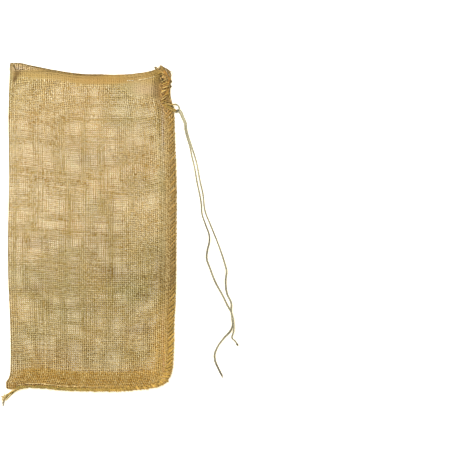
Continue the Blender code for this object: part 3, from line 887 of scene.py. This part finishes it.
def weave(
    name, warps, wefts, seed, middle, u_range=(0, 1), v_range=(0, 1), tone_and_shade=1.0,
    skew=None, fold=False, lip=0, shaded_stretch=None, crimp=CRIMP, size=1.0,
):
    """A plain weave over part of the sack: yarns over and under each other at every crossing.
    fold carries the wefts round the folded side. lip turns the warps over the mouth, down where it
    is 1 and up where it is -1.
    The mouth's very edge gets painted shade over a stretch given from x to x. Cloth whose yarns
    have a size of their own is neither crowded nor drawn together anywhere."""
    builder = Builder(name)
    usual_size = size == 1
    us = wandering(warps, np.linspace(0, USUAL_LENGTH, wefts), seed, USUAL_WIDTH, usual_size)
    vs = wandering(wefts, np.linspace(0, USUAL_WIDTH, warps), seed + 10, USUAL_LENGTH, usual_size).T
    u = u_range[0] + (u_range[1] - u_range[0]) * us
    v = v_range[0] + (v_range[1] - v_range[0]) * vs
    _, depths = edge_distances(np.clip(u, 0, 1), np.clip(v, 0, 1))
    if skew is not None:
        u, v = skew(u, v)
    u, v = np.clip(u, 0.003, 0.998), np.clip(v, 0.001, 0.999)
    place = on_cloth(u, v)
    height = middle(u, v)
    over = np.where((np.add.outer(np.arange(warps), np.arange(wefts))) % 2 == 0, 1.0, -1.0)
    # The colours are toned lighter or darker; on the back layer this is painted shade, the front
    # layer's shade over it.
    if callable(tone_and_shade):
        tone_and_shade = tone_and_shade(u, v)[..., None]
    colours = toned(cloth_colour(place, depths), tone_and_shade)
    close = closeness(place, depths) * usual_size
    calm = calmness(close)
    colours = colours * (1 - CLOSE_SHADE * np.maximum(close, 0) - CALM_SHADE * calm)[..., None]
    crimp = crimp * (1 - 0.4 * close) * (1 - 0.6 * calm)
    # painted shade along the mouth's very edge over the given stretch
    if shaded_stretch:
        edge_shade = between(place[..., 0], shaded_stretch[0], 0.03, shaded_stretch[1], 0.03)
        edge_shade = edge_shade * (1 - ease(depths[-1], 0.0022, 0.002))
        colours = colours * (1 - MOUTH_EDGE_SHADE * edge_shade[..., None])
    # painted shade on the cloth next to the folded side's edge
    if fold:
        colours = colours * (0.72 + 0.28 * ease(u, 0.004, 0.012))[..., None]
    rough = np.random.RandomState(seed + 50)
    sheet = raised(place, height)
    level = unit(np.cross(np.gradient(sheet, axis=0), np.gradient(sheet, axis=1)))

    lines = raised(place, height + over * crimp)
    looks = yarn_looks(rough, WARP_TONE, over, close, colours, place[0, :, 1], seed + 20, size)
    ends = over_mouth(lines, level, looks, lip) if lip else (lines, level, looks)
    add_yarns(builder, 0, WARP_HALF_WIDTH, *ends)

    lines, level, colours = (
        rows.swapaxes(0, 1) for rows in (raised(place, height - over * crimp), level, colours)
    )
    looks = yarn_looks(rough, WEFT_TONE, -over.T, close.T, colours, place[:, 0, 0], seed + 30, size)
    edge = on_cloth(np.zeros(wefts), v[0])
    ends = round_fold(lines, level, looks, edge) if fold else (lines, level, looks)
    add_yarns(builder, 1, WEFT_HALF_WIDTH, *ends)
    made = builder.make(WARP_JUTE, WEFT_JUTE)
    return made


def drawn_by_hem(u, v):
    """The hem's stitches draw the next wefts apart towards the sewn side, leaving open holes."""
    below = (1 - v) * USUAL_LENGTH - MOUTH_HEM - 0.003
    apart = 0.0005 * ease(u, 0.45, 0.25) * np.sign(below) * np.exp(-np.abs(below) / 0.0045)
    return v - apart / USUAL_LENGTH


def mouth_drop(u, v):
    """How far the mouth's edge is drawn in from its outline, except near the folded side."""
    return MOUTH_SAG * ease(u, 0.26, 0.16) * ease(v, 0.978, 0.02)


def front_skew(u, v):
    """The front's mouth hangs lower than the back's, most of all near the folded side."""
    x = u * USUAL_WIDTH
    lower = ease(x, 0.003, 0.009) * (0.0022 + 0.0125 * (1 - ease(x, 0.008, 0.1)))
    lower = lower * (1 - ease(x, 0.28, 0.04))
    lower = lower * ease(v, 0.82, 0.18) + mouth_drop(u, v)
    return u, drawn_by_hem(u, v) - lower / USUAL_LENGTH


def back_skew(u, v):
    """The back layer lies a little askew of the front one, and differently from place to place."""
    x, y = u * USUAL_WIDTH, v * USUAL_LENGTH
    inside = ease(u, 0.0, 0.2) * (1 - ease(u, 0.85, 0.15)) * (1 - ease(v, 0.9, 0.08))
    lean = 0.003 * noise(x, y, 0.11, 0.13, 301) + 0.0012 * noise(x, y, 0.04, 0.06, 302)
    sag = 0.0045 * noise(x, y, 0.13, 0.1, 303) + 0.0014 * noise(x, y, 0.045, 0.045, 304)
    sag = sag + 0.003 * (1 - ease(u, 0.0, 0.35))
    shift = inside * sag - mouth_drop(u, v)
    return u + inside * lean / USUAL_WIDTH, drawn_by_hem(u, v + shift / USUAL_LENGTH)


def back_painted_shade(u, v):
    """Painted shade on the back layer, as it is seen in the front one's shade, less so near the folded
    side and the top.
    """
    tone_and_shade = 0.66 + 0.14 * (1 - ease(u, 0.05, 0.35)) + 0.1 * ease(v, 0.5, 0.35)
    tone_and_shade = tone_and_shade + 0.07 * ease(u, 0.55, 0.25) * (1 - ease(v, 0.5, 0.35))
    return tone_and_shade + 0.22 * ease(v, 0.955, 0.02) * (1 - ease(u, 0.1, 0.4))


def under_front(u, v):
    """Just under the front layer, where the turned-in allowances lie."""
    return front_height(u, v) - 0.0028


# stretches, from x to x, of the mouth's very edge with painted shade, on the front and the back
FRONT_SHADED_STRETCH = (-0.11, 0.01)
BACK_SHADED_STRETCH = (-0.21, -0.09)

front = weave(
    "sack_front", WARPS, WEFTS, 100, lambda u, v: front_height(u, v) - YARN_MIDDLE,
    v_range=(0, 0.9985), skew=front_skew, fold=True, lip=1, shaded_stretch=FRONT_SHADED_STRETCH,
)
back = weave(
    "sack_back", BACK_WARPS, BACK_WEFTS, 200, lambda u, v: 0 * u + YARN_MIDDLE,
    tone_and_shade=back_painted_shade, skew=back_skew, lip=-1, shaded_stretch=BACK_SHADED_STRETCH,
)
allowances = [
    weave(
        "front_mouth_hem", WARPS, 6, 400, under_front, v_range=(MOUTH_HEM_START, 0.9965),
        skew=front_skew, shaded_stretch=FRONT_SHADED_STRETCH, size=1.9,
    ),
    weave(
        "back_mouth_hem", BACK_WARPS, 5, 430, lambda u, v: 0 * u + 0.003,
        v_range=(MOUTH_HEM_START, 0.9985), tone_and_shade=back_painted_shade,
        skew=lambda u, v: (u, v - mouth_drop(u, v) / USUAL_LENGTH), shaded_stretch=BACK_SHADED_STRETCH, size=1.25,
    ),
]
for name, warps, wefts, seed, u_range, v_range, tone_and_shade in (
    ("bottom_hem", 96, 15, 460, (0, 1), (0.002, BOTTOM_HEM / USUAL_LENGTH), 0.98),
    ("side_allowance", 9, WEFTS, 490, (1 - 1.05 * SIDE_SEAM / USUAL_WIDTH, 0.996), (0, 1), 0.95),
    ("tucked_corner", 22, 12, 520, (0.76, 0.98), (0.93, 0.978), 1.2),
):
    allowances.append(
        weave(
            name, warps, wefts, seed, under_front, u_range, v_range, tone_and_shade,
            crimp=INNER_CRIMP, size=1.6,
        )
    )
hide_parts("sack_cloth")


# ---- sewing over the edges
EDGE_STEP = 0.001  # between the places at which the sewn edge is known
STITCH = 0.0161  # from one stitch to the next
FIRST_STITCH = 0.009  # from the mouth
SEWING_END = 0.012  # left free at the other end
THREAD_TURN = 0.011  # the length of one turn of the thread's strands
THREAD_REST = 0.0011  # the least height of the thread's middle
WRAP_DEPTH = 0.0126  # how far in from the outline the wrapping thread reaches, on the side
WRAP_LEAN = 0.0155  # how far along the edge it travels meanwhile
SIDE_ROW = 0.0205  # the needle row's depth
BOTTOM_ROW = 0.0105
WRAP_RADIUS = 0.00084
WRAP_OFFSET = 0.0011  # of a strand's middle from the thread's
NEEDLE_RADIUS = 0.0005
NEEDLE_OFFSET = 0.00035
HEM_DOTS = ((75, 86), 4, 307.6)  # mm: the mouth hem's thread shows from x to x, how often, and y
START_WRAPS = 17  # short turns of thread over the start of the side seam
START_AT = (147, 305)  # mm: the place of the first
START_PITCH = 3  # mm: from one to the next
START_KNOTS = (  # mm: place and height over the sack, size, radius; colour, turn
    ((132.6, 335.6, 0.9), 4.2, 1.2, THREAD_GREY * 0.6, 0),
    ((165, 306.4, 2.2), 3.8, 1.2, PEAT * 3.5, 1),
    ((163.8, 296, 2.2), 4.2, 1.3, PEAT * 3, 2),
)
START_LOOPS = (  # mm: places and heights over the sack; colour, radius in mm
    (
        ((141, 334, 1), (143.5, 340, 1.2), (149, 337, 1.4), (155.2, 329.6, 1.2), (158, 324, 0.8)),
        THREAD_GREY, 1.4,
    ),
    (((139, 332, 1), (145, 338, 1.6), (151, 334.5, 1.8), (157, 327.6, 1.2)), THREAD_GREY * 0.9, 1.3),
    (
        ((159, 330, 0.8), (164, 328.6, 1), (168.2, 324.6, 0.8), (166.6, 319.8, 0.8), (161.8, 319, 1),
         (159, 322.6, 1.2)),
        THREAD_GREY, 0.8,
    ),
    (
        ((150, 326, 0.8), (156, 322, 1.6), (160, 315, 1.2), (161, 306, 1), (159, 298, 0.8)),
        THREAD_RED, 1.1,
    ),
    (
        ((143, 329, 0.8), (149, 324, 1.4), (153, 317, 1.2), (155.5, 308, 1.2), (154.5, 298, 0.8)),
        THREAD_BROWN, 1.2,
    ),
    (
        ((98, 309, 0.2), (107, 310.2, 0.4), (115, 311.8, 0.5), (124, 313.8, 0.5), (131.5, 316.6, 0.3)),
        CREAM, 0.75,
    ),
    (((138, 322, 0.4), (144, 325, 0.8), (151, 325, 0.8), (157, 320, 0.6)), THREAD_GOLD * 0.8, 1.1),
    # dark threads laid in the hole by the mouth's right corner: painted shadow (these three rows)
    (((143, 319, 0.4), (144.8, 315.6, 0.8), (146.4, 312.4, 0.4)), PEAT * 2, 1.3),
    (((145.6, 312, 0.4), (147.4, 309, 0.9), (149.4, 305.4, 0.3)), PEAT * 1.5, 1.6),
    (((141, 311, 0.4), (144.6, 308.6, 0.8), (148, 303.4, 0.3)), PEAT * 4, 0.9),
    (((152, 300, 0.6), (156, 292, 1.2), (158, 282, 1.2), (156, 273, 0.6)), THREAD_RED * 0.9, 1.1),
    (((160, 300, 0.6), (157, 290, 1), (160, 280, 1), (163, 270, 0.6)), THREAD_GOLD * 0.8, 1),
)
START_TURNS = (  # colour, radius in mm
    (0.5 * (THREAD_GOLD + THREAD_PALE), 1.15),
    (THREAD_RED * 0.55, 0.7),
    (THREAD_GOLD * 0.9, 1.0),
    (PEAT * 4.5, 0.6),
)

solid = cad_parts["sack_cloth"].data
solid_faces = [face.vertices for face in solid.polygons]
solid_tree = BVHTree.FromPolygons([corner.co for corner in solid.vertices], solid_faces)


def top_of_sack(x, y):
    """The height of the sack's top at a place, or 0 off the sack."""
    hit = solid_tree.ray_cast((x, y, 1.0), (0, 0, -1.0))[0]
    return hit.z if hit is not None else 0.0


def sewn_edge():
    """The sewn edge from the mouth down the side, round the corner and along the bottom: how far
    along it the corner is, evenly spaced distances, their places, and the direction inwards."""
    side_line = on_cloth(np.ones(700), np.linspace(1, 0, 700))
    bottom_line = on_cloth(np.linspace(1, 0, 400), np.zeros(400))
    line = np.concatenate([side_line, bottom_line[1:]])
    at = distances(line)
    corner = at[len(side_line) - 1]
    even = np.linspace(0, at[-1], int(at[-1] / EDGE_STEP))
    line = np.stack([np.interp(even, at, line[:, k]) for k in (0, 1)], axis=1)
    reach = 9  # steps either way between which the edge's direction is taken
    padded = np.pad(line, ((reach, reach), (0, 0)), mode="edge")
    ahead = unit(padded[2 * reach :] - padded[: -2 * reach])
    return corner, even, line, np.stack([ahead[:, 1], -ahead[:, 0]], axis=1)


CORNER_AT, EDGE_AT, EDGE_LINE, EDGE_IN = sewn_edge()


def from_edge(at, depth):
    """The place this far along the sewn edge and this far in from it."""
    line = np.array([np.interp(at, EDGE_AT, EDGE_LINE[:, k]) for k in (0, 1)])
    inward = np.array([np.interp(at, EDGE_AT, EDGE_IN[:, k]) for k in (0, 1)])
    return line + depth * unit(inward)


def stitch_point(at, depth, lift, under=None):
    """A thread's point over the sack's top, or at a height under it."""
    x, y = from_edge(at, depth)
    return (x, y, top_of_sack(x, y) + lift if under is None else under)


def thread_colours(at, high, low, last):
    """One colour from the mouth down to the middle, another from there, and the last at the bottom."""
    at = at[:, None]
    share = np.clip(0.1 + 0.75 * ease(at, 0.44, 0.16) + 0.18 * noise_along(at, 0.03, 75), 0, 1)
    high = high * (1 + (1 - ease(at, 0.07, 0.06)) * rgb(0.1, -0.08, -0.25))
    return blend(blend(high, low, share), last, ease(at, CORNER_AT + 0.1, 0.14))


def wrap(at, inner, lean, out):
    """The points of one turn of the wrapping thread: out over the edge and back underneath."""
    return [
        stitch_point(at, inner, -0.0002),
        stitch_point(at - 0.33 * lean, 0.68 * inner, 0.0005),
        stitch_point(at - 0.66 * lean, 0.35 * inner, 0.0006),
        stitch_point(at - 0.9 * lean, 0.0026 - out, 0, 0.0042),
        stitch_point(at - lean, 0.0009 - out, 0, 0.0026),
        stitch_point(at - 0.88 * lean, 0.0018 - 0.5 * out, 0, 0.0012),
        stitch_point(at - 0.2 * lean, 0.6 * inner, 0, 0.0008),
        stitch_point(at + 0.3 * STITCH, inner, 0, 0.0012),
    ]


NEEDLE_STITCH = (  # share of a stitch along, share of the way in, height over the sack
    (0, 0, 0.0006), (-0.12, 0.5, 0.001), (-0.2, 0.9, 0.001),
    (-0.12, 1.04, 0.0008), (0.1, 1.02, 0.0008), (0.45, 0.6, 0.0007),
)


def sew_edge():
    """The wrapping thread, twice over and under the edge in each stitch, and the needle's thread."""
    rough = np.random.RandomState(61)
    wraps, sizes, tints, places, needle, needle_at = [], [], [], [], [], []
    for k in range(int((EDGE_AT[-1] - SEWING_END) / STITCH)):
        at = FIRST_STITCH + k * STITCH + rough.normal(0, 0.001)
        on_side = 1 - float(ease(at, CORNER_AT - 0.03, 0.06))
        low_side = float(ease(at, 0.4, 0.1))
        untidy = 1 - float(ease(at, 0.08, 0.05))
        round_corner = float(between(at, CORNER_AT - 0.05, 0.05, CORNER_AT + 0.08, 0.08))
        row = blend(BOTTOM_ROW, SIDE_ROW, on_side)
        depth = blend(0.52 * BOTTOM_ROW, WRAP_DEPTH, on_side) * (1 + 0.35 * round_corner)
        lean = blend(1.1 * STITCH, WRAP_LEAN, on_side) * (1 - 0.45 * round_corner)
        at_corner = hill(at - lean, CORNER_AT, 0.036)
        uneven = 0.28 + 0.12 * round_corner
        spread = 0.19 + 0.16 * untidy + 0.1 * at_corner
        for shift, size, tint in (
            (0.0, 1.0 + 0.2 * low_side, 1.0),
            (0.5, 0.85 + 0.15 * low_side, 0.8 + 0.12 * low_side),
        ):
            inner = depth + rough.normal(0, 0.0008 + 0.003 * untidy)
            size = size * (1 + 0.18 * at_corner)
            swell = size * rough.uniform(1 - uneven, 1 + uneven) * blend(1.2, 1.0, on_side)
            tint = tint * rough.uniform(1.03 - spread, 1.03 + spread)
            tint = tint * (1 - 0.18 * untidy + 0.16 * at_corner)
            lean_now = lean * rough.uniform(0.78 - 0.4 * untidy, 1.15)
            out = 0.0008 * on_side * (1 - untidy) + 0.0036 * at_corner * rough.uniform(0, 1)
            wraps += wrap(at + (shift + 0.3 * untidy * rough.normal()) * STITCH, inner, lean_now, out)
            sizes += [0.7, swell, swell, swell, 0.9, 0.8, 0.8, 0.8]
            tint = tint * (1 - 0.07 * low_side) * (1 - 0.12 * hill(at, 0.43, 0.08))
            # painted shade on the wraps' turns round the far side of the edge, less along the lower
            # side
            outer = tint * (0.78 + 0.16 * low_side * rough.uniform(0.3, 1.4))
            tints += [0.8 * tint, tint, tint, 0.5 * (outer + tint), outer, outer, tint, tint]
            places += [at] * 8
        high = row + rough.normal(0, 0.0006)
        low = blend(WRAP_DEPTH - 0.001, row - 0.003, low_side)
        low = blend(BOTTOM_ROW - 0.0012, low, on_side)
        for ahead, share, lift in NEEDLE_STITCH:
            depth_now = low + share * (high - low)
            needle.append(stitch_point(at + ahead * STITCH, depth_now, lift - 0.0008 * on_side))
        needle_at += [at] * len(NEEDLE_STITCH)
    wrap_colours = THREAD_BROWN * 1.15, THREAD_GOLD, THREAD_OLIVE
    needle_colours = TAN * 0.84, AMBER * 0.92, THREAD_PALE * 1.05
    draw_thread("edge_wraps", wraps, sizes, tints, places, WRAP_RADIUS, WRAP_OFFSET, wrap_colours, 71)
    draw_thread(
        "needle_thread", needle, 1, 1, needle_at, NEEDLE_RADIUS, NEEDLE_OFFSET, needle_colours, 72
    )


def draw_thread(name, points, sizes, tints, places, radius, offset, colours, seed):
    """A twisted thread through points, with a size, a tint and a place along the edge for each."""
    points = np.array(points)
    share = np.linspace(0, len(points) - 1, 4 * len(points) - 3)
    fractions = distances(points) / distances(points)[-1]
    fine = smooth_line(points, np.interp(share, np.arange(len(points)), fractions))
    fine[:, 2] = np.maximum(fine[:, 2], THREAD_REST)
    size, tint, at = (
        np.interp(share, np.arange(len(points)), np.broadcast_to(row, len(points)))
        for row in (sizes, tints, places)
    )
    tint = tint * (1 + 0.12 * noise_along(share, 5, seed))
    shades = thread_colours(at, *colours) * tint[:, None]
    builder = Builder(name)
    twisted(builder, fine, 3, radius * size**0.5, offset * size, THREAD_TURN, shades, 4, seed, 0.3)
    builder.make(THREAD_JUTE)


def above(x, y, lift):
    """A point in mm this far above the sack's top, or above the floor beside it."""
    return (x, y, top_of_sack(x * MM, y * MM) / MM + lift)


def sew_start():
    """The untidy start of the edge sewing, at the mouth's right corner, and the mouth hem's thread."""
    builder = Builder("sewing_start")
    for middle, size, radius, colour, turn in START_KNOTS:
        knot(builder, above(*middle), size * MM, radius * MM, colour, turn)
    for k, (points, colour, radius) in enumerate(START_LOOPS):
        loose_thread(builder, [above(*point) for point in points], radius * MM, colour, 120 + k)
    rough = np.random.RandomState(180)
    for k in range(START_WRAPS):
        x, y = START_AT[0] + rough.normal(0, 1.6), START_AT[1] - START_PITCH * k + rough.normal(0, 1.2)
        rise = rough.uniform(2, 9)
        points = [
            above(x + along, y + share * rise, lift)
            for along, share, lift in ((0, 0, 0.2), (5, 0.4, 1.1), (10, 0.8, 1.2), (14.5, 1, 0.2))
        ]
        colour, radius = START_TURNS[k % len(START_TURNS)]
        loose_thread(builder, points, radius * MM, colour * rough.uniform(0.85, 1.12), 190 + k)
    ends, count, y = HEM_DOTS
    for k, x in enumerate(np.linspace(*ends, count)):
        points = [above(x - 0.9, y, 0.2), above(x, y, 0.7), above(x + 0.9, y, 0.2)]
        loose_thread(builder, points, 0.9 * MM, THREAD_WHITE, 160 + k, 4, 0.0006)
    builder.make(THREAD_JUTE)


sew_edge()
sew_start()


# ---- loose fibres
HAIRS = 1300  # all over the cloth
EDGE_HAIRS = 220  # along each of its edges
HAIR_POINTS = 5


def make_fuzz():
    """Hairs that stand off the cloth, all over it and round its edges."""
    rough = np.random.RandomState(91)
    builder = Builder("jute_hairs")
    corners = (((0, 0), (0, 1)), ((0, 1), (1, 1)), ((1, 1), (1, 0)), ((1, 0), (0, 0)))
    starts = [rough.uniform(0.01, 0.99, (HAIRS, 2))]
    for start, end in corners:
        along = rough.uniform(0, 1, (EDGE_HAIRS, 1))
        starts.append(np.clip(blend(np.array(start), np.array(end), along), 0.004, 0.996))
    starts = np.concatenate(starts)
    place = on_cloth(starts[:, 0], starts[:, 1])
    lines, shades, thickness = [], [], []
    for x, y in place:
        way = rough.uniform(0, 2 * np.pi)
        bend = rough.uniform(-1.6, 1.6)
        length = rough.uniform(0.003, 0.009)
        at, line = np.array([x, y]), []
        base = top_of_sack(x, y) or 0.002
        for k in range(HAIR_POINTS):
            line.append((at[0], at[1], max(base - 0.0004 + 0.0016 * math.sin(k * 0.7), 0.0002)))
            at = at + 0.25 * length * np.array([math.cos(way), math.sin(way)])
            way += bend / 4
        lines.append(line)
        shades.append(np.repeat(THREAD_PALE[None] * rough.uniform(0.6, 1.1), HAIR_POINTS, axis=0))
        thickness.append(rough.uniform(0.00007, 0.00013) * np.linspace(1.2, 0.5, HAIR_POINTS))
    thickness = np.array(thickness)
    builder.tubes(np.array(lines), UP, thickness, thickness, np.array(shades), sides=3)
    builder.make(TWINE_JUTE)


make_fuzz()


# ---- floor and light
FLOOR_REACH = 6.0


def make_studio():
    """A floor that comes out white, soft light from all round, and a lamp at the top left."""
    floor_mesh = bpy.data.meshes.new("floor")
    corners = [(x * FLOOR_REACH, y * FLOOR_REACH, 0) for x, y in ((-1, -1), (1, -1), (1, 1), (-1, 1))]
    floor_mesh.from_pydata(corners, [], [(0, 1, 2, 3)])
    floor = add_object("floor", floor_mesh)
    look = bpy.data.materials.new("floor")
    look.use_nodes = True
    set_inputs(
        look.node_tree.nodes["Principled BSDF"], Base_Color=(0.9, 0.9, 0.9, 1), Roughness=0.9,
        Emission_Color=(1.0, 0.84, 0.48, 1), Emission_Strength=0.62,
    )
    floor_mesh.materials.append(look)

    world = bpy.data.worlds.new("studio")
    world.use_nodes = True
    set_inputs(world.node_tree.nodes["Background"], Color=(1, 0.985, 0.95, 1), Strength=0.62)
    bpy.context.scene.world = world

    data = bpy.data.lights.new("key", "AREA")
    data.energy = 56
    data.size = 0.9
    key = add_object("key", data)
    key.location = (-0.9, 0.9, 1.9)
    key.rotation_euler = (math.radians(-25), math.radians(-25), 0)


make_studio()
bpy.context.scene.view_settings.view_transform = "Standard"
